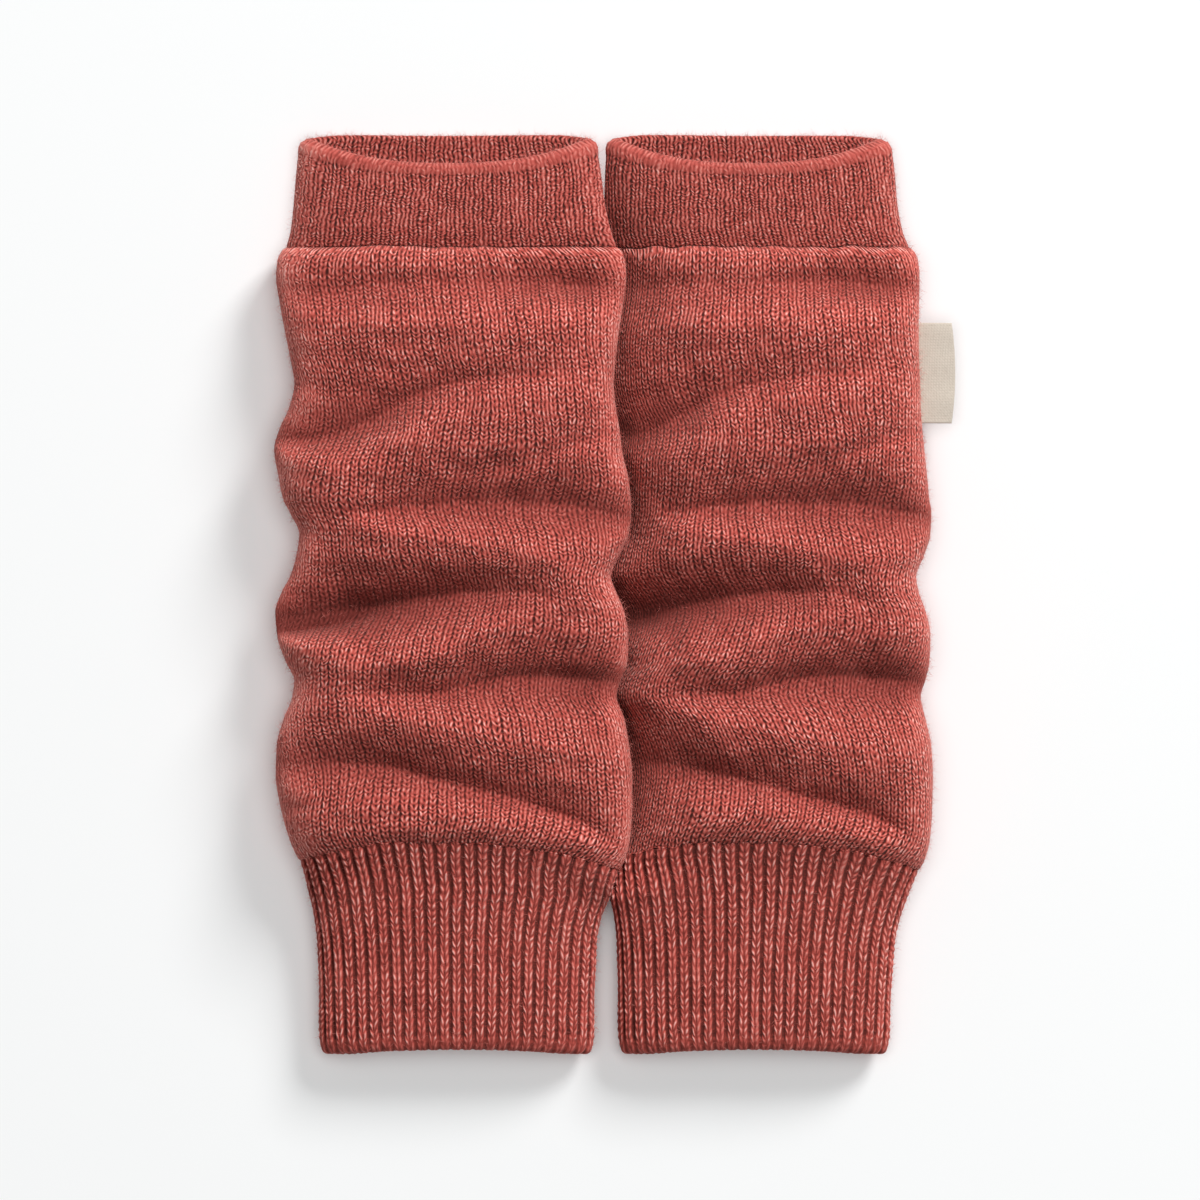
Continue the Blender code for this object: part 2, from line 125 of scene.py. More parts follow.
FOLDS = [
    Fold("under_cuff", 1.6, 1.7, [
        Stop(262, 290, 5.0, 20, 18), Stop(300, 292, 5.6, 22, 22), Stop(340, 290, 6.4, 24, 28),
        Stop(380, 288, 5.6, 22, 32), Stop(430, 286, 4.0, 20, 32), Stop(480, 285, 5.2, 20, 30),
        Stop(530, 285, 8.4, 24, 25), Stop(575, 287, 9.8, 26, 22), Stop(605, 289, 7.0, 24, 18),
        Stop(640, 292, 5.0, 22, 16)]),
    Fold("shallow", 1.8, 1.8, [
        Stop(280, 354, 0.8, 18, 14), Stop(340, 352, 1.6, 20, 14), Stop(400, 350, 1.2, 20, 14),
        Stop(440, 348, 0.4, 18, 14), Stop(500, 346, 0.0, 18, 14)]),
    Fold("upper_wedge", 1.15, 1.7, [
        Stop(262, 438, 9.5, 44, 12), Stop(300, 440, 9.5, 56, 14), Stop(340, 434, 9.6, 62, 22),
        Stop(380, 416, 8.8, 50, 26), Stop(430, 391, 6.4, 36, 26), Stop(480, 380, 3.8, 28, 22),
        Stop(530, 375, 2.4, 24, 20), Stop(575, 372, 1.0, 20, 18), Stop(600, 370, 0.0, 18, 18)]),
    Fold("right_diagonal", 1.6, 1.8, [
        Stop(430, 478, 0.0, 18, 10), Stop(480, 472, 1.2, 20, 10), Stop(530, 462, 3.0, 22, 12),
        Stop(575, 446, 3.6, 22, 14), Stop(605, 434, 2.6, 18, 14), Stop(640, 420, 1.0, 12, 12)]),
    Fold("middle", 1.3, 1.7, [
        Stop(310, 516, 0.0, 20, 14), Stop(345, 514, 1.2, 24, 16), Stop(380, 510, 4.6, 28, 19),
        Stop(430, 506, 8.2, 38, 26), Stop(480, 503, 8.8, 44, 33), Stop(530, 504, 9.6, 42, 34),
        Stop(575, 507, 10.0, 40, 38), Stop(605, 513, 10.0, 36, 30), Stop(640, 519, 8.6, 34, 22)]),
    Fold("deep", 1.25, 1.6, [
        Stop(262, 631, 16.0, 48, 8), Stop(300, 627, 16.6, 52, 11), Stop(340, 619, 16.0, 52, 20),
        Stop(380, 606, 14.0, 39, 36), Stop(430, 597, 11.2, 35, 38), Stop(480, 592, 9.0, 31, 34),
        Stop(530, 592, 4.6, 30, 30), Stop(560, 600, 2.8, 28, 26), Stop(590, 610, 0.8, 22, 20),
        Stop(610, 620, 0.0, 18, 16)]),
    Fold("lower_right", 1.25, 1.7, [
        Stop(320, 696, 0.0, 20, 12), Stop(345, 694, 1.2, 22, 14), Stop(380, 692, 4.4, 26, 18),
        Stop(430, 693, 6.4, 24, 22), Stop(480, 682, 8.4, 38, 32), Stop(530, 675, 10.0, 40, 42),
        Stop(575, 678, 11.6, 42, 44), Stop(605, 681, 11.4, 36, 30), Stop(640, 684, 10.0, 30, 16)]),
    Fold("lowest", 1.3, 1.7, [
        Stop(262, 766, 6.0, 42, 18), Stop(300, 764, 7.2, 46, 26), Stop(340, 761, 8.0, 40, 34),
        Stop(380, 764, 8.4, 34, 32), Stop(430, 775, 7.3, 32, 26), Stop(480, 788, 6.5, 32, 24),
        Stop(530, 804, 6.4, 42, 21), Stop(575, 820, 5.4, 42, 15), Stop(605, 834, 2.0, 30, 11),
        Stop(625, 846, 0.0, 22, 10)]),
    Fold("low_left", 1.8, 1.8, [
        Stop(265, 806, 1.4, 12, 9), Stop(290, 808, 1.8, 12, 9), Stop(320, 806, 0.7, 10, 9),
        Stop(340, 804, 0.0, 10, 9)]),
]
FOLD_ROWS = (246.0, 264.0, 838.0, 860.0)
FOLD_FLOOR = 0.06
# How much painted sheen of the fluff lightens a leg's left and right sides, for the left leg and the right one (none
# where the right leg lies under the left one), and how wide a band.
RIM_SIDES, RIM_BANDS = ((1.0, 0.80), (0.0, 0.56)), (42.0, 27.0)
CREASE_FULL = 14.4  # depth in mm at which wool lies in the deepest shade of a fold
BACK_FOLD = 0.26  # folds of the hidden underside, as a share of the front's

# How the columns of stitches lean across the front, in degrees, "/" positive, at five places from left to right.
Lean = namedtuple("Lean", "y edge left middle right far")
LEAN_AT = (300.0, 365.0, 450.0, 535.0, 600.0)
LEANS = [
    Lean(244, 22, 14, 0, -16, -24),
    Lean(262, 16, 6, 0, -17, -12),
    Lean(285, -2, -4, -3, -13, -12),
    Lean(330, 6, 4, -8, -12, -4),
    Lean(358, -9, -11, -8, -7, -10),
    Lean(388, -14, -21, -9, 0, 6),
    Lean(412, -22, -34, 2, -5, 12),
    Lean(436, 8, 0, 1, -2, 20),
    Lean(456, 40, 19, 10, 22, 14),
    Lean(478, 32, 8, 16, 24, 12),
    Lean(500, 26, 6, 6, 28, 26),
    Lean(520, 0, 10, -19, -8, 0),
    Lean(550, -5, -32, -34, -34, -28),
    Lean(580, -19, -36, -32, -5, 14),
    Lean(602, -18, -18, 20, 12, -6),
    Lean(622, 31, 34, 28, 14, 6),
    Lean(645, 36, 30, 21, 20, 16),
    Lean(668, 30, 22, 24, 4, 22),
    Lean(692, -14, -12, -6, -20, -20),
    Lean(730, -28, -18, -10, -6, -8),
    Lean(756, -22, -4, -10, -6, -8),
    Lean(780, -14, 18, 7, -4, -11),
    Lean(802, 26, 22, 10, 4, -10),
    Lean(826, 14, 6, 17, 10, -2),
    Lean(846, -18, -10, 8, 6, 16),
    Lean(862, -22, -10, 0, 8, 22),
]
MOUTH_ROLL = 0.45  # how far the fold at the mouth stands out, in mm
SEAM_SWAY = 1.2  # how far the two seams sway up and down, in grid squares
HEM_RISE, HEM_ROWS = 4.0, (985.0, 1052.0)  # the hem bows up a little in the middle
SEAM_REACH = 1.3  # how far from a seam its cloth turns in, in mm
CUFF_SEAM_DROP, RIB_SEAM_DROP = 0.6, 0.22  # and how deep

# Knit: stitches round the front and the back of a tube, courses along it, and mesh points for each.
Knit = namedtuple("Knit", "front back courses per_front per_back per_course relief")
CUFF_KNIT = Knit(36, 31, 22, 5, 3, 3, 0.08)
BODY_KNIT = Knit(44, 38, 118, 4, 2, 3, 0.08)
RIB_KNIT = Knit(25, 23, 26, 8, 4, 5, 0.42)


def step(value, low, high):
    share = np.clip((value - low) / (high - low), 0.0, 1.0)
    return share * share * (3.0 - 2.0 * share)


def through(rows, key, column, at):
    """The column's value at `at`, on a smooth curve through the rows that doesn't overshoot them."""
    xs = np.array([getattr(row, key) for row in rows], float)
    vs = np.array([getattr(row, column) for row in rows], float)
    widths = np.diff(xs)
    slopes = np.diff(vs) / widths
    tangents = np.zeros(len(xs))
    tangents[0], tangents[-1] = slopes[0], slopes[-1]
    for i in range(1, len(xs) - 1):
        if slopes[i - 1] * slopes[i] > 0:
            w1, w2 = 2 * widths[i] + widths[i - 1], widths[i] + 2 * widths[i - 1]
            tangents[i] = (w1 + w2) / (w1 / slopes[i - 1] + w2 / slopes[i])
    at = np.clip(np.asarray(at, float), xs[0], xs[-1])
    k = np.clip(np.searchsorted(xs, at, side="right") - 1, 0, len(xs) - 2)
    t = (at - xs[k]) / widths[k]
    return (
        (2 * t**3 - 3 * t**2 + 1) * vs[k]
        + (t**3 - 2 * t**2 + t) * widths[k] * tangents[k]
        + (3 * t**2 - 2 * t**3) * vs[k + 1]
        + (t**3 - t**2) * widths[k] * tangents[k + 1]
    )


def waves(seed, x, y, size, count=9):
    """A smooth uneven field from -1 to 1 or so: waves of about `size` in every direction."""
    rng = np.random.RandomState(seed)
    total = np.zeros(np.broadcast(x, y).shape)
    for _ in range(count):
        turn, phase = rng.uniform(0, 2 * np.pi, 2)
        length = size * rng.uniform(0.7, 1.6)
        total += np.sin(2 * np.pi * (x * np.cos(turn) + y * np.sin(turn)) / length + phase)
    return total / np.sqrt(count * 0.5) / 1.6


def fold_depth(x, y):
    """How far down the folds take the cloth in mm, and how deep in their shade it lies, from 0 to 1."""
    total = np.zeros(np.broadcast(x, y).shape)
    shade = total.copy()
    for fold in FOLDS:
        first, last = fold.stops[0], fold.stops[-1]
        trough = through(fold.stops, "x", "y", x)
        depth = through(fold.stops, "x", "depth", x)
        above = (trough - y) / through(fold.stops, "x", "above", x)
        below = (y - trough) / through(fold.stops, "x", "below", x)
        away = np.where(above > 0, np.abs(above) ** fold.upper, np.abs(below) ** fold.lower)
        runs = ((x >= first.x) | (first.depth > 0)) & ((x <= last.x) | (last.depth > 0))
        one = np.where(runs, depth * np.exp(-away), 0.0)
        total = np.maximum(total, one) + 0.35 * np.minimum(total, one)
        dim = np.where(above > 0, (np.abs(above) / 0.62) ** 1.5, (np.abs(below) / 0.85) ** 2.0)
        dark = np.where(runs, depth / CREASE_FULL * np.exp(-dim), 0.0)
        shade = np.maximum(shade, dark) + 0.35 * np.minimum(shade, dark)
    r0, r1, r2, r3 = FOLD_ROWS
    ends = step(y, r0, r1) * (1.0 - step(y, r2, r3))
    return total * ends, np.clip(shade * ends, 0.0, 1.0)


def lean_shift(x, y):
    """How far, in grid squares, a column of stitches has moved to the right by height y."""
    ys = np.arange(240.0, 866.0, 2.0)
    runs = []
    for column in ("edge", "left", "middle", "right", "far"):
        slope = np.tan(np.radians(through(LEANS, "y", column, ys)))
        runs.append(np.concatenate([[0.0], -np.cumsum((slope[1:] + slope[:-1]) / 2 * 2.0)]))
    shared = np.mean(runs, axis=0)
    kernel = np.exp(-np.linspace(-2.5, 2.5, 121) ** 2 / 2)
    kernel /= kernel.sum()
    for k in range(5):  # one course of columns for the whole width, and each place's own zigzag on it
        own = runs[k] - shared
        slow = np.convolve(np.pad(own, 60, mode="edge"), kernel, mode="valid")
        runs[k] = shared + own - slow
    at = np.clip(x, LEAN_AT[0], LEAN_AT[-1])
    total = np.zeros(np.broadcast(x, y).shape)
    moved = [np.interp(y, ys, run) + 0 * total for run in runs]
    for k in range(4):
        share = np.clip((at - LEAN_AT[k]) / (LEAN_AT[k + 1] - LEAN_AT[k]), 0, 1)
        share = share * share * (3 - 2 * share)
        inside = (at >= LEAN_AT[k]) & ((at < LEAN_AT[k + 1]) | (k == 3))
        total = np.where(inside, moved[k] + (moved[k + 1] - moved[k]) * share, total)
    return total


class Tube:
    """The form of one piece: sections at rows y (a column of grid values), outside or drawn in by a wall."""

    def __init__(self, sections, right_leg, folded):
        self.sections, self.right_leg, self.folded = sections, right_leg, folded

    def rows(self, y, wall):
        get = lambda column: through(self.sections, "y", column, y)
        right = self.right_leg
        low, high = (get("right_in"), get("right_out")) if right else (get("left_out"), get("left_in"))
        crown = get("crown")
        lap = step(get("left_in") - get("right_in"), -8.0, 12.0)
        inset = wall / GRID
        s = {"floor": np.full_like(y, wall), "crown": crown - wall}
        left_z = SIDE_HEIGHT * crown - 0.7 * wall
        right_z = SIDE_HEIGHT * crown - 0.7 * wall
        left_power = np.full_like(y, 0.5)
        left_reach = right_reach = np.full_like(y, SIDE_ROUND)
        lean = np.zeros_like(y)
        left_in = right_in = np.full_like(y, inset)
        if right:
            left_z = left_z + (UNDER_HEIGHT + 0.35 * wall - left_z) * lap
            left_power = left_power + 0.5 * lap
            left_in = left_in * (1.0 + 0.3 * lap)
        else:
            right_z = right_z + (OVER_HEIGHT - 0.7 * wall - right_z) * lap
            right_reach = right_reach + (OVER_REACH - right_reach) * lap
            lean = lap
            right_in = right_in * (1.0 + 0.3 * lap)
        low, high = low + left_in, high - right_in
        s.update(middle=(low + high) / 2, half=(high - low) / 2, left_z=left_z, right_z=right_z)
        s.update(left_power=left_power, left_reach=left_reach - left_in, right_reach=right_reach - right_in, lean=lean)
        return s

    def over(self, s, t):
        """x and the height of the top at t from -1 to 1, without folds."""
        side = s["left_z"] + (s["right_z"] - s["left_z"]) * (t + 1) / 2
        power = np.where(t < 0, s["left_power"], 0.5)
        rise = (s["crown"] - side) * np.clip(1.0 - np.abs(t) ** CROWN_POWER, 0.0, 1.0) ** power
        return s["middle"] + s["half"] * t, side, rise

    def under(self, s, t):
        right = t > 0
        side = np.where(right, s["right_z"], s["left_z"])
        reach = np.where(right, s["right_reach"], s["left_reach"]) / s["half"]
        lean = np.where(right, s["lean"], 0.0)
        q = np.clip((np.abs(t) - 1.0 + reach) / reach, 0.0, 1.0)
        lift = (1.0 - np.sqrt(np.clip(1.0 - q * q, 0.0, 1.0))) * (1.0 - lean) + q * lean
        return s["middle"] + s["half"] * t, s["floor"] + (side - s["floor"]) * lift

    def shift(self, y, t, upper):
        mouth = 1.0 - step(y, *MOUTH_ROWS)
        if upper:
            dip = MOUTH_DIP * (1.0 - np.abs(t) ** MOUTH_POWER)
            rise = ARCH_RISE * (1.0 - np.abs(t) ** ARCH_POWER)
        else:
            dip = -MOUTH_BACK * (1.0 - t * t)
            rise = 0.0
        start, whole, end = ARCH_ROWS
        arch = np.where(y <= whole, step(y, start, whole), 1.0 - step(y, whole, end))
        hem = HEM_RISE * (1.0 - t * t) * step(y, *HEM_ROWS)
        return dip * mouth + (ARCH_TILT * t - rise) * arch - hem

    def spread(self, s, count, upper):
        """Values of t that part the top, or the underside, into `count` equal lengths of cloth at each row."""
        dense = np.sin(np.pi / 2 * np.linspace(-1, 1, 241))[None, :]
        if upper:
            x, side, rise = self.over(s, dense)
            z = side + rise
        else:
            x, z = self.under(s, dense)
        length = np.hypot(np.diff(x * GRID, axis=1), np.diff(z, axis=1))
        length = np.concatenate([np.zeros((len(x), 1)), np.cumsum(length, axis=1)], axis=1)
        share = np.linspace(0, 1, count + 1)
        return np.array([np.interp(share * run[-1], run, dense[0]) for run in length])

    def points(self, y, wall, columns_over, columns_under):
        """(rows, columns, 3) in millimetres: over the top from left to right, then back underneath."""
        y = np.asarray(y, float)[:, None]
        s = self.rows(y, wall)
        t = self.spread(s, columns_over, True)
        x, side, rise = self.over(s, t)
        leg_x = x - LEG_STEP * self.right_leg
        shade = np.zeros_like(x)
        if self.folded:
            depth, shade = fold_depth(leg_x, y)
            if wall > 0.0:  # the inside's few rows keep clear of the narrow troughs
                for away in (-26.0, -13.0, 13.0, 26.0):
                    depth = np.maximum(depth, fold_depth(leg_x, y + away)[0])
                depth = depth * 1.1 + 0.8
            rise = rise * np.maximum(FOLD_FLOOR, 1.0 - depth / (s["crown"] - side))
            calm = step(y, 244, 275) * (1 - step(y, 835, 860))
        else:
            calm = 0.35
        flat = 1.0 - np.abs(t) ** 6
        rough = 0.42 * waves(3 + self.right_leg, leg_x, y, 74) + 0.22 * waves(5 + self.right_leg, leg_x, y, 31)
        rise = rise + rough * calm * flat
        sway = waves(41 + self.right_leg, leg_x, 0 * leg_x, 30.0) * (np.exp(-((y - 249) / 9) ** 2) + np.exp(-((y - 863) / 10) ** 2))
        top = np.dstack([x, y + self.shift(y, t, True) + SEAM_SWAY * sway * flat, side + rise])

        t = self.spread(s, columns_under, False)[:, ::-1][:, 1:-1]
        x, z = self.under(s, t)
        if self.folded:
            mirrored = 2 * s["middle"] - x - LEG_STEP * self.right_leg
            lift = BACK_FOLD * fold_depth(mirrored, y + 14.0)[0] * (1.0 - np.abs(t) ** 4)
            z = z + np.minimum(lift, 2.6)
        back = np.dstack([x, y + self.shift(y, t, False), z])
        grid = np.concatenate([top, back], axis=1)
        crease = np.concatenate([shade, np.zeros_like(x)], axis=1)
        grid[..., 0] = (grid[..., 0] - MID_X) * GRID
        grid[..., 1] = (MID_Y - grid[..., 1]) * GRID
        return grid, crease


def along(dense, extra, courses, rows):
    """Rows of points at equal shares of each column's length, from closely spaced rows; `extra` goes with them."""
    length = np.linalg.norm(np.diff(dense, axis=0), axis=2)
    length = np.concatenate([np.zeros((1, dense.shape[1])), np.cumsum(length, axis=0)])
    share = length / length[-1]
    at = np.linspace(0, 1, rows + 1)
    out = np.empty((rows + 1, dense.shape[1], 3))
    carried = np.empty((rows + 1, dense.shape[1]))
    for j in range(dense.shape[1]):
        for k in range(3):
            out[:, j, k] = np.interp(at, share[:, j], dense[:, j, k])
        carried[:, j] = np.interp(at, share[:, j], extra[:, j])
    return out, carried, at * courses, float(length[-1].mean())


def edge_turn(outer, inner, outward, steps):
    """Points that round an edge from the outer row to the inner one."""
    middle, across = (outer + inner) / 2, (outer - inner) / 2
    radius = np.linalg.norm(across, axis=1, keepdims=True)
    outward = outward / np.linalg.norm(outward, axis=1, keepdims=True)
    turns = np.linspace(0, np.pi, steps + 2)[1:-1]
    return np.array([middle + across * np.cos(a) + outward * radius * np.sin(a) for a in turns])


def normals(grid):
    """Outward normals of a grid that closes both ways."""
    a = np.roll(grid, -1, axis=0) - np.roll(grid, 1, axis=0)
    b = np.roll(grid, -1, axis=1) - np.roll(grid, 1, axis=1)
    n = np.cross(a, b)
    return n / np.maximum(np.linalg.norm(n, axis=2, keepdims=True), 1e-9)


def stitch_relief(u, v):
    """Stocking stitch: two legs to a column, meeting in a V that points down the leg. From -1 to 1."""
    a = np.abs(u % 1.0 - 0.5)
    leg = np.clip(1.0 - (4.0 * a - 1.0) ** 2, 0.0, 1.0)
    ripple = 0.5 - 0.5 * np.cos(2 * np.pi * (v + 1.2 * a))
    middle = np.clip(1.0 - (a / 0.2) ** 2, 0.0, 1.0)
    gap = (1.0 - leg) * (1.0 - middle) * (0.5 + 0.5 * np.cos(2 * np.pi * (v + 0.25)))
    return -0.6 + leg * (0.95 + 0.65 * ripple) + middle * 0.5 - gap * 0.4


def rib_relief(u, v):
    """One knit column to each period, between sunken purl valleys. From -1 to 1."""
    a = np.abs(u % 1.0 - 0.5)
    raised = step(0.5 - a, 0.03, 0.2)
    leg = np.clip(1.0 - ((a - 0.19) / 0.17) ** 2, 0.0, 1.0)
    ripple = 0.5 - 0.5 * np.cos(2 * np.pi * (v + 1.5 * a))
    return -1.0 + raised * 1.15 + leg * (0.35 + 0.5 * ripple)


def mesh_object(name, points, quads, uv=None, material=None, smooth=True):
    mesh = bpy.data.meshes.new(name)
    mesh.vertices.add(len(points))
    mesh.vertices.foreach_set("co", (np.asarray(points, np.float32) * 0.001).ravel())
    size = quads.shape[1]
    mesh.loops.add(quads.size)
    mesh.loops.foreach_set("vertex_index", quads.astype(np.int32).ravel())
    mesh.polygons.add(len(quads))
    mesh.polygons.foreach_set("loop_start", np.arange(0, quads.size, size, dtype=np.int32))
    mesh.polygons.foreach_set("loop_total", np.full(len(quads), size, np.int32))
    if uv is not None:
        mesh.uv_layers.new(name="Knit").data.foreach_set("uv", np.asarray(uv, np.float32).ravel())
    mesh.update(calc_edges=True)
    mesh.validate()
    mesh.polygons.foreach_set("use_smooth", np.full(len(mesh.polygons), smooth))
    obj = bpy.data.objects.new(name, mesh)
    bpy.context.scene.collection.objects.link(obj)
    if material is not None:
        mesh.materials.append(material)
    return obj


def torus_mesh(name, grid, u, v, u_round, v_end, material):
    """A closed shell from a grid that wraps both ways, with its knit coordinates: u for each point, v for each row."""
    rows, columns = grid.shape[:2]
    i, j = np.meshgrid(np.arange(rows), np.arange(columns), indexing="ij")
    ni, nj = (i + 1) % rows, (j + 1) % columns
    quads = np.stack([i * columns + j, ni * columns + j, ni * columns + nj, i * columns + nj], axis=-1).reshape(-1, 4)
    wide = np.concatenate([u, u[:, :1] + u_round], axis=1)
    wide = np.concatenate([wide, wide[:1]], axis=0)
    v1 = np.append(v, v_end)
    uv = np.stack([
        np.stack([wide[i, j], v1[i]], -1), np.stack([wide[i + 1, j], v1[i + 1]], -1),
        np.stack([wide[i + 1, j + 1], v1[i + 1]], -1), np.stack([wide[i, j + 1], v1[i]], -1)], axis=2).reshape(-1, 2)
    return mesh_object(name, grid.reshape(-1, 3), quads, uv, material)


def knit_columns(knit):
    over = np.arange(knit.front * knit.per_front) / knit.per_front
    under = knit.front + np.arange(knit.back * knit.per_back) / knit.per_back
    return np.concatenate([over, under])


SURFACES = {}  # what loose fibres grow from: points, normals, and where they are


def knitted_tube(name, node, sections, right_leg, wall, knit, rib, material, folded=False, mouth=False, hem=False):
    form = Tube(sections, right_leg, folded)
    over, under = knit.front * knit.per_front, knit.back * knit.per_back
    first, last = sections[0].y, sections[-1].y
    round_off = wall / 2 / GRID
    start = first + (round_off if mouth else 0.0)
    stop = last - (round_off if hem else 0.0)
    dense_y = np.linspace(start, stop, max(120, int((stop - start) * 2.2)))
    outer, crease, v, length = along(*form.points(dense_y, 0.0, over, under), knit.courses, knit.courses * knit.per_course)
    inner_rows = 34 if mouth else 22
    inner_y = np.linspace(start, stop, inner_rows)
    if mouth:
        inner_y = start + (stop - start) * np.linspace(0, 1, inner_rows) ** 1.4
    inner, _ = form.points(inner_y, wall, over, under)
    pitch = v[1] - v[0]
    per_mm = knit.courses / length

    rows, vs, mask = [], [], []
    if mouth:  # from the mouth's fold down the outside, then up the inside to the fold again
        turn = edge_turn(inner[0], outer[0], outer[0] - outer[3], 5)
        rows = [outer, inner[::-1], turn]
        inner_v = -(inner_y - start) * GRID * per_mm - 5 * 0.6 * per_mm
        vs = [v, inner_v[::-1], np.linspace(inner_v[0], 0, 7)[1:-1]]
        mask = [np.ones(len(v)), np.full(len(inner_y), 0.55), np.linspace(0.55, 1, 7)[1:-1]]
        v_end = 0.0
    else:
        inner_v = v[-1] + (stop - inner_y[::-1]) * GRID * per_mm
        if hem:
            turn = edge_turn(outer[-1], inner[-1], outer[-1] - outer[-3], 5)
            rows = [outer, turn, inner[::-1]]
            vs = [v, v[-1] + np.linspace(0, 1.2, 7)[1:-1], inner_v + 1.2]
            mask = [1.0 - 0.45 * step(v, knit.courses - 1.6, knit.courses - 0.9), np.linspace(0.55, 0.3, 7)[1:-1], np.full(len(inner_y), 0.3)]
        else:
            rows, vs = [outer, inner[::-1]], [v, inner_v]
            mask = [np.ones(len(v)), np.full(len(inner_y), 0.3)]
        v_end = vs[-1][-1] + 0.5
    grid = np.concatenate(rows)
    v = np.concatenate(vs)
    mask = np.concatenate(mask)
    straight = knit_columns(knit)
    u = np.repeat(straight[None, :], len(grid), axis=0)
    if folded:  # the columns lean this way and that between the folds
        columns_y = np.clip(MID_Y - grid[..., 1] / GRID, 246.0, 862.0)
        leg_x = MID_X + grid[..., 0] / GRID - LEG_STEP * right_leg
        moved = lean_shift(leg_x, columns_y) * GRID / 2.44
        back = (straight > knit.front).astype(float) * (straight - knit.front) / knit.back
        edges = moved[:, over - 1:over] * (1 - back) + moved[:, :1] * back
        u = u - np.where(straight[None, :] > knit.front, edges, moved)
    n = normals(grid)
    # painted sheen of the fluff along each leg's sides, fading inwards over a band
    left_side, right_side = RIM_SIDES[right_leg]
    away_left = (grid[..., 0] - grid[..., 0].min(axis=1, keepdims=True)) / GRID
    away_right = (grid[..., 0].max(axis=1, keepdims=True) - grid[..., 0]) / GRID
    rim = np.maximum(left_side * (1.0 - step(away_left, 1.0, RIM_BANDS[0])), right_side * (1.0 - step(away_right, 1.0, RIM_BANDS[1])))
    rim = rim * (1.0 + 0.35 * waves(23 + right_leg, grid[..., 0] / GRID, grid[..., 1] / GRID, 46.0))
    uu, vv = u, v[:, None] + 0 * u
    amount = knit.relief * (1.0 + 0.35 * waves(11, uu, vv, 9.0))
    relief = (rib_relief if rib else stitch_relief)(uu, vv + 0.25 * waves(17, uu, vv, 14.0))
    fade = mask[:, None]
    if not mouth and not hem:  # the body's cloth turns in at both seams
        rise = np.minimum(v, knit.courses - v)
        fade = fade * (np.where(v <= knit.courses, 1.0, 0.3) * step(rise, -0.5, 1.2))[:, None]
    if hem:
        fade = fade * step(v, -0.3, 1.0)[:, None]
    grid = grid + n * (relief * amount * fade)[..., None]
    if mouth:  # the fold at the mouth is a little thicker than the cloth
        grid = grid + n * (MOUTH_ROLL * np.where(v >= 0, 1.0 - step(v, 0.8, 3.2), 0.0))[:, None, None]
    # the cloth turns in where two pieces are sewn together
    reach = SEAM_REACH * per_mm
    turn_in, drop = np.zeros(len(v)), np.zeros(len(v))
    if not mouth:
        turn_in = np.where(v < reach, 1.0 - v / reach, 0.0)
        drop = np.where(v < reach, RIB_SEAM_DROP if hem else CUFF_SEAM_DROP, 0.0)
    if not hem:
        ending = (v > knit.courses - reach) & (v <= knit.courses)
        turn_in = np.where(ending, (v - knit.courses + reach) / reach, turn_in)
        drop = np.where(ending, CUFF_SEAM_DROP if mouth else RIB_SEAM_DROP, drop)
    grid = grid - n * (drop * (1.0 - np.sqrt(np.clip(1.0 - turn_in**2, 0, 1))))[:, None, None]
    grid[..., 2] = np.maximum(grid[..., 2], 0.02)
    obj = torus_mesh(name, grid, u, v, knit.front + knit.back, v_end, material)
    count = knit.courses * knit.per_course + 1
    rim[count:] = 0.0
    obj.data.attributes.new("Rim", "FLOAT", "POINT").data.foreach_set("value", rim.ravel().astype(np.float32))
    # the folds' painted shade, kept on the shell for the material to darken the wool with
    if folded:
        shade = np.zeros(grid.shape[:2])
        shade[:count] = np.clip(crease, 0.0, 1.0)
        obj.data.attributes.new("PaintedFoldShade", "FLOAT", "POINT").data.foreach_set("value", shade.ravel().astype(np.float32))
    SURFACES[name] = (grid[:count], n[:count])
    if mouth:
        SURFACES[name + "_edge"] = (grid[-9:], n[-9:])
    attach(obj, "root")
    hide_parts(node)
    return obj, length


# ---------------------------------------------------------------- materials

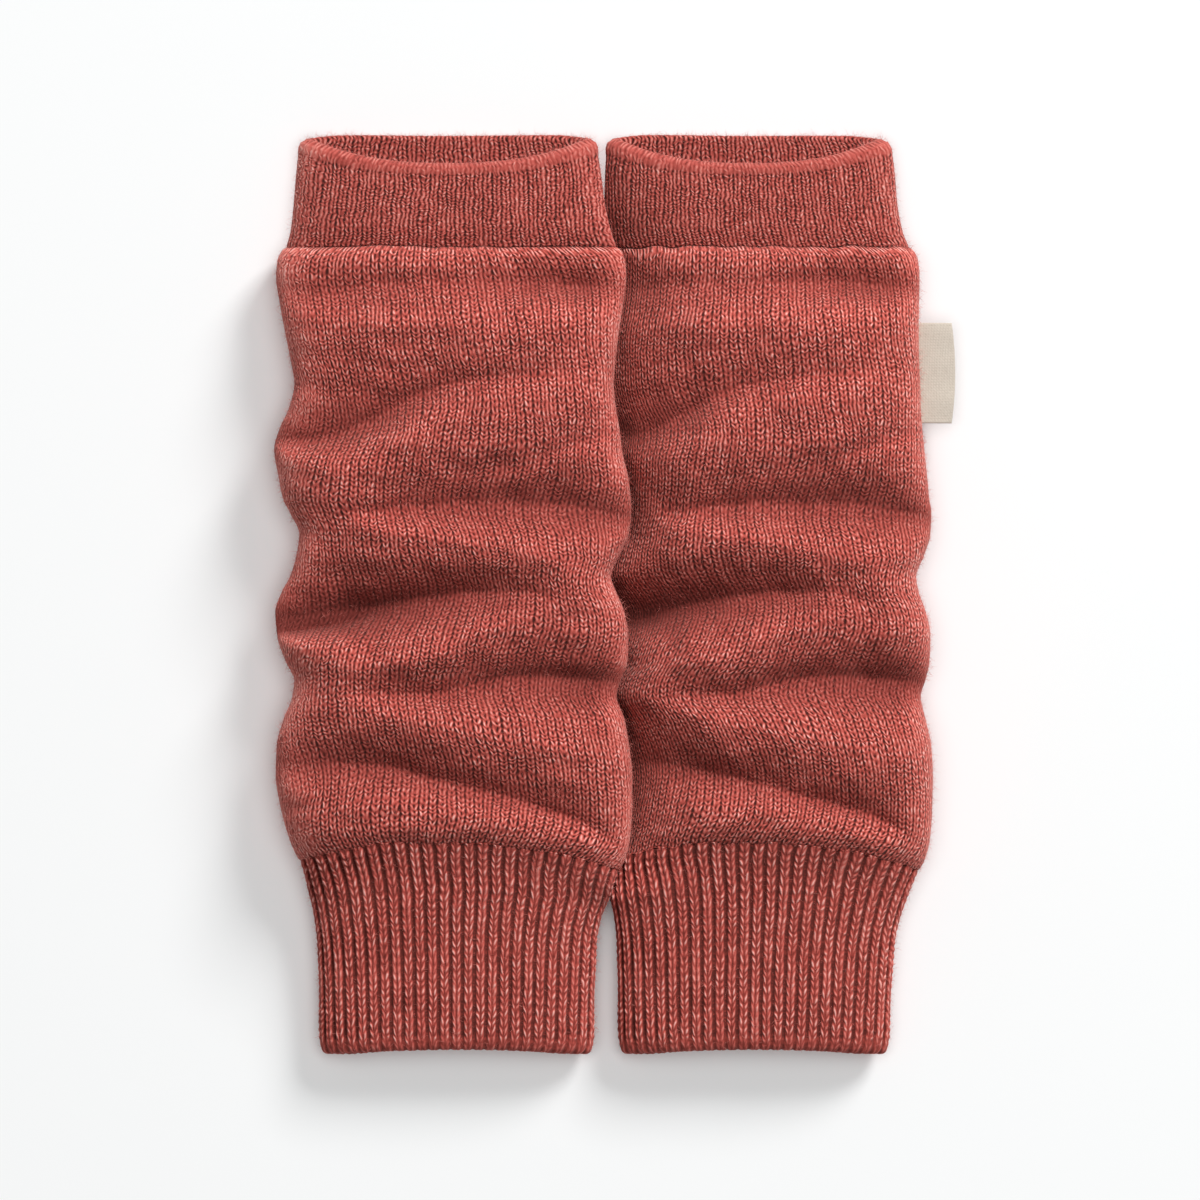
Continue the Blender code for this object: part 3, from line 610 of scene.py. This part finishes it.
class Nodes:
    """Short names for building a material's nodes."""

    def __init__(self, tree):
        self.tree = tree

    def node(self, kind, **settings):
        made = self.tree.nodes.new(kind)
        for key, value in settings.items():
            setattr(made, key, value)
        return made

    def put(self, socket, value):
        if isinstance(value, bpy.types.NodeSocket):
            self.tree.links.new(value, socket)
        else:
            socket.default_value = value

    def math(self, operation, *values, clamp=False):
        made = self.node("ShaderNodeMath", operation=operation, use_clamp=clamp)
        for socket, value in zip(made.inputs, values):
            self.put(socket, value)
        return made.outputs[0]

    def add(self, a, b):
        return self.math("ADD", a, b)

    def sub(self, a, b):
        return self.math("SUBTRACT", a, b)

    def mul(self, a, b, clamp=False):
        return self.math("MULTIPLY", a, b, clamp=clamp)

    def mix_value(self, a, b, share):
        return self.add(a, self.mul(self.sub(b, a), share))

    def noise(self, vector, scale, detail=2.0, rough=0.5, dims="3D"):
        made = self.node("ShaderNodeTexNoise", noise_dimensions=dims)
        self.put(made.inputs["Vector"], vector)
        made.inputs["Scale"].default_value = scale
        made.inputs["Detail"].default_value = detail
        made.inputs["Roughness"].default_value = rough
        return made.outputs["Fac"]

    def combine(self, x, y, z=0.0):
        made = self.node("ShaderNodeCombineXYZ")
        for socket, value in zip(made.inputs, (x, y, z)):
            self.put(socket, value)
        return made.outputs[0]

    def range(self, value, a, b, c=0.0, d=1.0, smooth=False):
        made = self.node("ShaderNodeMapRange", interpolation_type="SMOOTHSTEP" if smooth else "LINEAR")
        for socket, given in zip(made.inputs, (value, a, b, c, d)):
            self.put(socket, given)
        return made.outputs[0]

    def ramp(self, value, stops):
        made = self.node("ShaderNodeValToRGB")
        made.color_ramp.interpolation = "LINEAR"
        while len(made.color_ramp.elements) < len(stops):
            made.color_ramp.elements.new(0.5)
        for element, (at, colour) in zip(made.color_ramp.elements, stops):
            element.position, element.color = at, colour
        self.put(made.inputs[0], value)
        return made.outputs[0]

    def mix(self, factor, a, b, blend="MIX"):
        made = self.node("ShaderNodeMix", data_type="RGBA", blend_type=blend)
        self.put(made.inputs[0], factor)
        self.put(made.inputs[6], a)
        self.put(made.inputs[7], b)
        return made.outputs[2]


def start_material(name):
    made = bpy.data.materials.new(name)
    made.use_nodes = True
    tree = made.node_tree
    shader = tree.nodes["Principled BSDF"]
    return made, Nodes(tree), shader


def linear(r, g, b):
    def one(c):
        c = c / 255.0
        return c / 12.92 if c <= 0.04045 else ((c + 0.055) / 1.055) ** 2.4
    return (one(r), one(g), one(b), 1.0)


# What a knit's pattern looks like, in columns and courses: where its legs run in a column, how wide and how steep they
# are, how plainly each stitch shows, how far all of it wanders, and how dark the painted shade in the gaps between and
# inside columns is.
Look = namedtuple("Look", "legs_at leg_width slant low plain plain_vary wobble gap_width gap_depth bottoms hole base gain")
BODY_LOOK = Look(0.26, 0.172, 1.85, 0.14, 0.82, 0.32, 1.3, 0.20, 0.46, 0.50, 0.46, 0.335, 0.57)
CUFF_LOOK = Look(0.25, 0.180, 1.70, 0.18, 0.74, 0.36, 1.6, 0.18, 0.48, 0.12, 0.50, 0.33, 0.56)
RIB_LOOK = Look(0.200, 0.190, 2.60, 0.24, 0.88, 0.30, 1.0, 0.0, 0.0, 0.0, 0.0, 0.215, 0.76)

# The wool's red, with painted shade for the darkest values in the gaps and holes and painted highlights for the
# lightest along the yarn's legs.
WOOL = [
    (0.00, (60, 20, 16)),
    (0.20, (104, 40, 33)),
    (0.42, (161, 65, 56)),
    (0.62, (200, 92, 82)),
    (0.82, (225, 131, 119)),
    (1.00, (245, 178, 168)),
]


def knit_material(name, look, courses, rib=False, tone=1.0, loops=(), seams=(), hem=False, drift=(), fluff_sheen=0.0, soft_edge=0.0):
    made, n, shader = start_material(name)
    uv = n.node("ShaderNodeUVMap", uv_map="Knit").outputs[0]
    parts = n.node("ShaderNodeSeparateXYZ")
    n.put(parts.inputs[0], uv)
    u, v = parts.outputs[0], parts.outputs[1]
    def field(across, down, seed, detail=0.0):
        """An uneven field about 0, with features of so many columns across and courses down."""
        vector = n.combine(n.mul(u, 1 / across), n.mul(v, 1 / down), seed)
        return n.mul(n.sub(n.noise(vector, 1.0, detail, 0.5), 0.5), 6.0)

    def chance(a, b, seed):
        made_noise = n.node("ShaderNodeTexWhiteNoise", noise_dimensions="3D")
        n.put(made_noise.inputs["Vector"], n.combine(a, b, seed))
        return made_noise.outputs["Value"]

    def bell(value, centre, width):
        away = n.mul(n.sub(value, centre), 1 / width)
        return n.math("MAXIMUM", n.sub(1.0, n.mul(away, away)), 0.0)

    if rib:
        u2 = n.add(u, n.add(n.mul(field(1.6, 2.8, 1.0), 0.025), n.mul(field(0.6, 1.0, 2.0), 0.018)))
        v2 = n.add(v, n.add(n.mul(field(1.8, 5.0, 3.0), 0.30), n.mul(field(0.5, 0.9, 4.0), 0.10)))
        plain = n.math("ADD", look.plain, n.mul(field(0.8, 6.5, 5.0), look.plain_vary), clamp=True)
    else:
        w = look.wobble
        u2 = n.add(u, n.add(n.mul(field(2.9, 4.4, 1.0), 0.05 * w), n.mul(field(0.8, 1.2, 2.0), 0.035 * w)))
        v2 = n.add(v, n.add(n.mul(field(3.3, 5.0, 3.0), 0.20 * w), n.mul(field(0.8, 1.2, 4.0), 0.12 * w)))
        plain = n.math("ADD", look.plain, n.mul(field(1.4, 5.8, 5.0), look.plain_vary), clamp=True)
    rim = n.node("ShaderNodeAttribute", attribute_name="Rim").outputs["Fac"]
    if not rib:  # stitches seen on edge are a tangle of fluff
        u2 = n.add(u2, n.mul(n.mul(field(0.7, 0.9, 21.0), 0.10), rim))
        v2 = n.add(v2, n.mul(n.mul(field(0.8, 1.3, 22.0), 0.28), rim))
    for across, down, amount in drift:
        v2 = n.add(v2, n.mul(field(across, down, 31.0), amount))
    edge = 0.0
    for reach, squeeze in loops:  # the first stitches from an edge are long loops, drawn out over several courses
        v2 = n.add(v2, n.mul(n.math("MAXIMUM", n.math("MINIMUM", n.sub(reach, v), reach + 1.0), 0.0), 1.0 - squeeze))
        near = n.mul(n.range(v, reach, reach * 0.7, 0.0, 1.0, smooth=True), n.range(v, -2.2, -0.8, 0.0, 1.0, smooth=True))
        plain = n.math("MAXIMUM", plain, n.mul(near, 0.85))
        edge = n.add(near, edge)
    a = n.math("ABSOLUTE", n.sub(n.math("FRACT", u2), 0.5))
    bend = a if rib else n.math("SQRT", n.add(n.mul(a, a), 0.010))
    phase = n.add(v2, n.mul(bend, look.slant))
    leg_number = n.math("FLOOR", n.mul(u2, 2.0))
    stitch_number = n.math("FLOOR", phase)
    lightness = chance(leg_number, stitch_number, 0.5)
    place = chance(leg_number, stitch_number, 7.5)
    stroke = n.sub(0.5, n.mul(n.math("COSINE", n.mul(phase, 2 * np.pi)), 0.5))
    at = n.add(look.legs_at, n.mul(n.sub(place, 0.5), 0.03 if rib else 0.05))
    leg = bell(a, at, look.leg_width)
    low = look.low
    run = n.add(n.mul(n.sub(1.0, plain), 0.80), n.mul(plain, n.add(low, n.mul(stroke, 1.0 - low))))
    legs = n.mul(leg, run)
    loose = n.mul(n.noise(n.node("ShaderNodeTexCoord").outputs["Object"], 1700.0, 1.0, 0.6), 1.0)
    fine = n.mul(n.sub(loose, 0.5), 6.0)
    if rib:
        legs = n.mul(legs, n.add(0.72, n.mul(lightness, 0.50)))
        middle = n.mul(bell(a, 0.0, 0.10), n.add(0.4, n.mul(n.sub(1.0, stroke), 0.6)))
        # painted shade: the sunken purl valleys are drawn darker than the raised columns, darkest at their edges
        value = n.add(look.base, n.mul(legs, look.gain))
        value = n.add(value, n.mul(middle, 0.10))
        value = n.sub(value, n.range(a, 0.30, 0.36, 0.0, 0.05, smooth=True))
        purl = n.mul(n.range(a, 0.36, 0.46, 0.0, 1.0, smooth=True), n.add(0.5, n.mul(n.math("COSINE", n.mul(n.add(v2, 0.5), 4 * np.pi)), 0.5)))
        value = n.add(value, n.mul(purl, n.add(0.07, n.mul(field(0.35, 0.4, 13.0), 0.05))))
        value = n.add(value, n.mul(fine, 0.035))
        value = n.add(value, n.mul(field(0.5, 0.8, 9.0), 0.03))
        if hem:  # the ribs run out into a rolled edge, with a round pocket at the foot of each valley
            foot = n.sub(courses - 1.15, n.mul(n.math("COSINE", n.mul(a, 4 * np.pi)), 0.28))
            rolled = n.range(n.sub(v2, foot), -0.25, 0.35, 0.0, 1.0, smooth=True)
            strands = n.add(0.30, n.add(n.mul(field(0.5, 0.5, 11.0), 0.06), n.mul(value, 0.38)))
            value = n.mix_value(value, strands, n.mul(rolled, 0.75))
    else:
        # painted highlight along the rounded bottom of each stitch
        bottom = n.mul(n.math("POWER", stroke, 1.5), n.sub(1.0, n.range(a, 0.20, 0.40, 0.0, 1.0, smooth=True)))
        bottom = n.mul(n.mul(bottom, plain), look.bottoms)
        total = n.sub(1.0, n.mul(n.sub(1.0, legs), n.sub(1.0, bottom)))
        total = n.mul(total, n.add(0.78, n.mul(lightness, 0.44)))
        beat = n.add(0.17, n.mul(n.mul(n.sub(1.0, stroke), plain), 1.05))
        beat = n.mul(beat, n.sub(1.0, n.mul(edge, 0.45)))
        # painted shade in the gaps between columns and in the holes inside them
        gap = n.mul(n.range(a, 0.5 - look.gap_width, 0.5, 0.0, 1.0, smooth=True), beat)
        hole = n.mul(n.range(a, 0.0, 0.13, 1.0, 0.0, smooth=True), n.math("POWER", n.sub(1.0, stroke), 1.5))
        hole = n.mul(hole, n.add(0.4, n.mul(plain, 0.6)))
        value = n.add(look.base, n.mul(n.mul(total, look.gain), n.add(1.0, n.mul(field(1.1, 1.7, 9.0), 0.12))))
        value = n.sub(value, n.mul(gap, look.gap_depth))
        value = n.sub(value, n.mul(hole, look.hole))
        value = n.add(value, n.mul(fine, 0.045))
        value = n.add(value, n.mul(edge, 0.07))
        if soft_edge:  # the loops are drawn lighter and flatter towards a folded edge
            value = n.mix_value(value, 0.62, n.mul(edge, soft_edge))
    crease = n.node("ShaderNodeAttribute", attribute_name="PaintedFoldShade").outputs["Fac"]
    # painted shade in the folds: the stitches' lights and darks are drawn closer together there
    value = n.add(n.mul(n.sub(value, 0.42), n.sub(1.0, n.mul(crease, 0.60))), 0.42)
    # painted sheen of the fluff along the sides, weaker in the folds' painted shade
    value = n.add(value, n.mul(n.mul(n.sub(0.688, n.mul(value, 0.62)), rim), n.mul(n.sub(1.0, n.mul(crease, 0.75)), fluff_sheen)))
    for at, reach, dark in seams:  # shut off from the light where two pieces meet
        value = n.sub(value, n.mul(n.range(n.math("ABSOLUTE", n.sub(v, at)), 0.0, reach, 1.0, 0.0, smooth=True), dark))
    blotch = n.mul(n.sub(n.noise(n.node("ShaderNodeTexCoord").outputs["Object"], 130.0, 2.0, 0.55), 0.5), 0.16)
    shade = n.add(value, blotch)
    colour = n.ramp(shade, [(at, linear(*c)) for at, c in WOOL])
    if tone != 1.0:
        colour = n.mix(1.0, colour, (tone, tone, tone, 1.0), blend="MULTIPLY")
    painted_fold_shade = n.math("POWER", crease, 1.2)  # painted shade: the wool's colour is darkened towards a deep red in the folds
    colour = n.mix(n.mul(painted_fold_shade, 0.64), colour, linear(50, 17, 14))
    n.put(shader.inputs["Base Color"], colour)
    n.put(shader.inputs["Roughness"], n.range(shade, 0.0, 1.0, 0.95, 0.82))
    shader.inputs["Specular IOR Level"].default_value = 0.2
    shader.inputs["Sheen Weight"].default_value = 0.34
    shader.inputs["Sheen Roughness"].default_value = 0.5
    shader.inputs["Sheen Tint"].default_value = linear(255, 190, 178)
    bump = n.node("ShaderNodeBump")
    bump.inputs["Strength"].default_value = 0.6
    bump.inputs["Distance"].default_value = 0.0005
    n.put(bump.inputs["Height"], value)
    n.put(shader.inputs["Normal"], bump.outputs[0])
    return made


def fibre_material(name, colour):
    made, n, shader = start_material(name)
    position = n.node("ShaderNodeTexCoord").outputs["Object"]
    vary = n.noise(position, 420.0, 2.0, 0.5)
    n.put(shader.inputs["Base Color"], n.ramp(vary, [(0.3, linear(*colour[0])), (0.7, linear(*colour[1]))]))
    shader.inputs["Roughness"].default_value = 0.8
    shader.inputs["Sheen Weight"].default_value = 0.3
    return made


def tape_material(name):
    made, n, shader = start_material(name)
    uv = n.node("ShaderNodeUVMap", uv_map="Knit").outputs[0]
    parts = n.node("ShaderNodeSeparateXYZ")
    n.put(parts.inputs[0], uv)
    u, v = parts.outputs[0], parts.outputs[1]  # threads across and along the tape
    warp = n.math("SINE", n.mul(u, 2 * np.pi))
    weft = n.math("SINE", n.mul(v, 2 * np.pi))
    check = n.math("SINE", n.mul(n.add(n.math("FLOOR", n.mul(u, 2.0)), n.math("FLOOR", n.mul(v, 2.0))), np.pi / 2))
    weave = n.add(0.5, n.mul(n.add(n.mul(warp, n.add(0.5, n.mul(check, 0.25))), n.mul(weft, n.sub(0.5, n.mul(check, 0.25)))), 0.5))
    slub = n.noise(n.combine(n.mul(u, 0.25), n.mul(v, 2.0)), 1.0, 3.0, 0.6)
    slub2 = n.noise(n.combine(n.mul(u, 2.2), n.mul(v, 0.18), 4.0), 1.0, 3.0, 0.6)
    shade = n.add(n.mul(weave, 0.34), n.add(n.mul(slub, 0.40), n.mul(slub2, 0.34)))
    n.put(shader.inputs["Base Color"], n.ramp(shade, [
        (0.20, linear(160, 147, 131)), (0.50, linear(195, 184, 170)), (0.85, linear(218, 208, 196))]))
    shader.inputs["Roughness"].default_value = 0.85
    shader.inputs["Specular IOR Level"].default_value = 0.3
    shader.inputs["Sheen Weight"].default_value = 0.15
    bump = n.node("ShaderNodeBump")
    bump.inputs["Strength"].default_value = 0.6
    bump.inputs["Distance"].default_value = 0.00012
    n.put(bump.inputs["Height"], shade)
    n.put(shader.inputs["Normal"], bump.outputs[0])
    return made


PLAIN = knit_material("wool_plain_knit", BODY_LOOK, BODY_KNIT.courses, loops=((2.7, 0.37),), seams=((0.0, 1.5, 0.24), (118.0, 0.9, 0.05)), fluff_sheen=0.55)
CUFF = knit_material("wool_cuff_knit", CUFF_LOOK, CUFF_KNIT.courses, tone=0.815, loops=((2.4, 0.42),), seams=((22.0, 1.1, 0.22),), drift=((1.4, 9.0, 0.30),), fluff_sheen=0.40, soft_edge=0.50)
RIB = knit_material("wool_rib_knit", RIB_LOOK, RIB_KNIT.courses, rib=True, tone=1.02, seams=((0.0, 0.6, 0.05),), hem=True)
TAPE = tape_material("label_tape")
FUZZ = fibre_material("loose_wool_fibre", ((190, 86, 76), (228, 140, 128)))

# ---------------------------------------------------------------- knitted pieces

pieces = []
for side, right_leg in (("left", False), ("right", True)):
    for part, sections, wall, knit, rib, material, slot, extra in (
        ("top_cuff", CUFF_SECTIONS, WALL_CUFF, CUFF_KNIT, False, CUFF, "wool_plain_knit", {"mouth": True}),
        ("body", BODY_SECTIONS, WALL_BODY, BODY_KNIT, False, PLAIN, "wool_plain_knit", {"folded": True}),
        ("rib_cuff", RIB_SECTIONS, WALL_RIB, RIB_KNIT, True, RIB, "wool_rib_knit", {"hem": True}),
    ):
        name = side + "_" + part
        obj, length = knitted_tube(name + "_cloth", name, sections, right_leg, wall, knit, rib, material, **extra)
        pieces.append((obj, part, length))

for obj, part, length in pieces:
    print("length", obj.name, round(length, 1), "triangles", len(obj.data.polygons) * 2)


# ---------------------------------------------------------------- loose fibres

def fuzz(name, sources, per_mm2, seed, longest, thick, tucked):
    """Short loose fibres: each a thin three-sided tapering sliver that bends once."""
    rng = np.random.RandomState(seed)
    roots, outs = [], []
    for source in sources:
        grid, n = SURFACES[source]
        a = grid[1:, 1:] - grid[:-1, :-1]
        b = grid[1:, :-1] - grid[:-1, 1:]
        area = 0.5 * np.linalg.norm(np.cross(a, b), axis=2)
        facing = n[:-1, :-1, 2]
        area = area * np.where(facing > -0.35, 0.55 + 2.6 * np.clip(1.0 - np.abs(facing), 0, 1) ** 1.6, 0.12)
        if tucked:  # hardly any where the right leg lies under the left one
            away = grid[:-1, :-1, 0] - grid[:-1, :-1, 0].min(axis=1, keepdims=True)
            area = area * (0.06 + 0.94 * step(away, 3.0, 14.0))
        chance = area.ravel() / area.sum()
        count = int(area.sum() * per_mm2)
        pick = rng.choice(len(chance), count, p=chance)
        i, j = np.unravel_index(pick, area.shape)
        mix = rng.uniform(0, 1, (count, 2))
        p = (grid[i, j] * (1 - mix[:, :1]) + grid[i + 1, j] * mix[:, :1]) * (1 - mix[:, 1:]) + (
            grid[i, j + 1] * (1 - mix[:, :1]) + grid[i + 1, j + 1] * mix[:, :1]) * mix[:, 1:]
        roots.append(p - 0.12 * n[i, j])
        outs.append(n[i, j])
    root, out = np.concatenate(roots), np.concatenate(outs)
    count = len(root)
    lean = rng.normal(size=(count, 3))
    lean -= out * np.sum(lean * out, axis=1, keepdims=True)
    lean /= np.linalg.norm(lean, axis=1, keepdims=True)
    stand = rng.uniform(0.12, 0.95, (count, 1)) ** 1.5
    first = out * stand + lean * np.sqrt(1 - stand**2)
    bend = rng.normal(size=(count, 3)) * 0.55
    second = first + bend
    second += out * np.maximum(0, 0.05 - np.sum(second * out, axis=1, keepdims=True))
    second /= np.linalg.norm(second, axis=1, keepdims=True)
    length = longest * rng.uniform(0.25, 1.0, (count, 1)) ** 1.3
    knee = root + first * length * 0.5
    tip = knee + second * length * 0.5
    side = np.cross(first, rng.normal(size=(count, 3)))
    side /= np.maximum(np.linalg.norm(side, axis=1, keepdims=True), 1e-6)
    other = np.cross(first, side)
    width = thick * rng.uniform(0.7, 1.2, (count, 1))
    corners = [side, -0.5 * side + 0.87 * other, -0.5 * side - 0.87 * other]
    points = np.stack([root + c * width * 0.5 for c in corners] + [knee + c * width * 0.42 for c in corners] + [tip], axis=1)
    points[..., 2] = np.maximum(points[..., 2], 0.03)
    base = np.arange(count)[:, None, None] * 7
    tri = np.array([[0, 2, 1], [0, 1, 4], [0, 4, 3], [1, 2, 5], [1, 5, 4], [2, 0, 3], [2, 3, 5], [3, 4, 6], [4, 5, 6], [5, 3, 6]])
    faces = (tri[None] + base).reshape(-1, 3)
    obj = mesh_object(name, points.reshape(-1, 3), faces, None, FUZZ, smooth=False)
    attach(obj, "root")
    print("fibres", name, count, "triangles", len(faces))
    return obj


for side, seed in (("left", 101), ("right", 202)):
    halo = fuzz(side + "_fuzz", [side + "_top_cuff_cloth", side + "_body_cloth", side + "_rib_cuff_cloth"] + [side + "_top_cuff_cloth_edge"] * 3, 0.51, seed, 3.2, 0.055, side == "right")


# ---------------------------------------------------------------- the tab

def tab(name):
    """Bare woven tape folded double: two thin layers with an empty slit between them, parting a little at the fold."""
    rows, across, nose = 72, 26, 6
    layer, half = 0.46, LABEL_THICK / 2
    rings = []
    for i in range(rows + 1):
        share = i / rows
        y = LABEL_ROWS[0] + (LABEL_ROWS[1] - LABEL_ROWS[0]) * share
        seam = float(through(BODY_SECTIONS, "y", "right_out", y)) - 2.5
        edge = LABEL_EDGE - LABEL_BOW * (2 * share - 1) ** 2 - 0.5
        wave = 0.16 * np.sin(2 * np.pi * share * 1.3 + 0.6) + 0.10 * np.sin(2 * np.pi * share * 2.9)
        line_x = seam + (edge - seam - half / GRID) * np.linspace(0, 1, across)
        out = (line_x - seam) / (edge - seam)
        z = LABEL_HEIGHT - LABEL_DROOP * out**2 + wave * out
        turns = np.linspace(np.pi / 2, -np.pi / 2, nose + 2)[1:-1]

        def side(gape, sign):
            return np.stack([line_x, np.full(across, y), z + sign * gape], 1)

        def cap(gape, order):
            return np.stack([line_x[-1] + np.cos(order) * gape / GRID, np.full(nose, y), z[-1] + np.sin(order) * gape], 1)

        outer = half * (0.94 + 0.06 * out**2)
        inner = outer - layer
        rings.append(np.concatenate([
            side(outer, 1), cap(outer[-1], turns), side(outer, -1)[::-1],
            side(inner, -1), cap(inner[-1], -turns), side(inner, 1)[::-1]]))
    grid = np.array(rings)
    grid[..., 0] = (grid[..., 0] - MID_X) * GRID
    grid[..., 1] = (MID_Y - grid[..., 1]) * GRID
    r, c = grid.shape[:2]
    i, j = np.meshgrid(np.arange(r - 1), np.arange(c), indexing="ij")
    nj = (j + 1) % c
    quads = np.stack([i * c + j, (i + 1) * c + j, (i + 1) * c + nj, i * c + nj], -1).reshape(-1, 4)
    run = np.concatenate([[0], np.cumsum(np.linalg.norm(np.diff(grid[0], axis=0), axis=1))]) * TAPE_THREADS
    run1 = np.append(run[1:], run[-1] + 1)
    along_v = np.linspace(0, 27.0 * TAPE_THREADS, r)
    uv = np.stack([
        np.stack([run[j], along_v[i]], -1), np.stack([run[j], along_v[i + 1]], -1),
        np.stack([run1[j], along_v[i + 1]], -1), np.stack([run1[j], along_v[i]], -1)], axis=2).reshape(-1, 2)
    # the two cut ends: strips of faces from the outer line of the tape to its inner line
    ends, end_uv = [], []
    for row, flip in ((0, False), (r - 1, True)):
        for k in range(c // 2 - 1):
            quad = [row * c + k, row * c + k + 1, row * c + c - 2 - k, row * c + c - 1 - k]
            ends.append(quad[::-1] if flip else quad)
            end_uv += [[k * 1.0, 0.0], [k + 1.0, 0.0], [k + 1.0, 1.0], [k * 1.0, 1.0]]
    quads = np.concatenate([quads, np.array(ends)])
    uv = np.concatenate([uv, np.array(end_uv)])
    obj = mesh_object(name, grid.reshape(-1, 3), quads, uv, TAPE)
    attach(obj, "root")
    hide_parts("label")
    return obj


tab("bare_tab")

# ---------------------------------------------------------------- floor, light, camera

bpy.ops.mesh.primitive_plane_add(size=6.0, location=(0, 0, -0.0002))
floor = bpy.context.object
floor.name = "floor"
paint, n, shader = start_material("pale_floor")
shader.inputs["Base Color"].default_value = (0.922, 0.932, 0.932, 1.0)
shader.inputs["Roughness"].default_value = 0.9
shader.inputs["Specular IOR Level"].default_value = 0.1
floor.data.materials.append(paint)

world = bpy.data.worlds.new("soft_room")
bpy.context.scene.world = world
world.use_nodes = True
world.node_tree.nodes["Background"].inputs[0].default_value = (1.0, 1.0, 1.0, 1.0)
world.node_tree.nodes["Background"].inputs[1].default_value = 0.175


def lit_only(name, objects):
    group = bpy.data.collections.new(name)
    for obj in objects:
        group.objects.link(obj)
    return group


CLOTH_ONLY = lit_only("cloth_receivers", [o for o in bpy.data.objects if o.type == "MESH" and o is not floor])
FLOOR_ONLY = lit_only("floor_receivers", [floor])
SHADOWING = lit_only("floor_shadow_makers", [
    o for o in bpy.data.objects if o.type == "MESH" and ("_body_" in o.name or "_rib_" in o.name or o.name == "bare_tab")])


def soft_light(name, toward, distance, size, share, receivers, blockers=None):
    """A square softbox that gives a level white surface this share of full brightness."""
    toward = Vector(toward).normalized()
    data = bpy.data.lights.new(name, "AREA")
    data.shape = "SQUARE"
    data.size = size
    data.energy = share * np.pi / 0.93 * np.pi * distance**2 / toward.z
    lamp = bpy.data.objects.new(name, data)
    bpy.context.scene.collection.objects.link(lamp)
    lamp.location = toward * distance
    lamp.rotation_euler = toward.to_track_quat("Z", "Y").to_euler()
    lamp.light_linking.receiver_collection = receivers
    if blockers is not None:
        lamp.light_linking.blocker_collection = blockers
    return lamp


soft_light("cloth_key", (0.35, 0.64, 0.685), 2.4, 1.1, 0.83, CLOTH_ONLY)
soft_light("floor_key", (0.54, 0.68, 0.50), 3.6, 1.28, 0.375, FLOOR_ONLY, blockers=SHADOWING)
soft_light("floor_top", (0.02, 0.02, 1.0), 4.0, 3.2, 0.552, FLOOR_ONLY)

camera_data = bpy.data.cameras.new("camera")
camera = bpy.data.objects.new("camera", camera_data)
bpy.context.scene.collection.objects.link(camera)
HEIGHT = 2.4
camera.location = ((600.0 - MID_X) * GRID * 0.001, (MID_Y - 600.0) * GRID * 0.001, HEIGHT)
camera.rotation_euler = (0.0, 0.0, 0.0)
camera_data.sensor_width = 36.0
camera_data.lens = 36.0 * HEIGHT / (1200 * GRID * 0.001)
camera_data.clip_start = 0.05
bpy.context.scene.camera = camera
bpy.context.scene.view_settings.view_transform = "Standard"
bpy.context.scene.view_settings.look = "None"
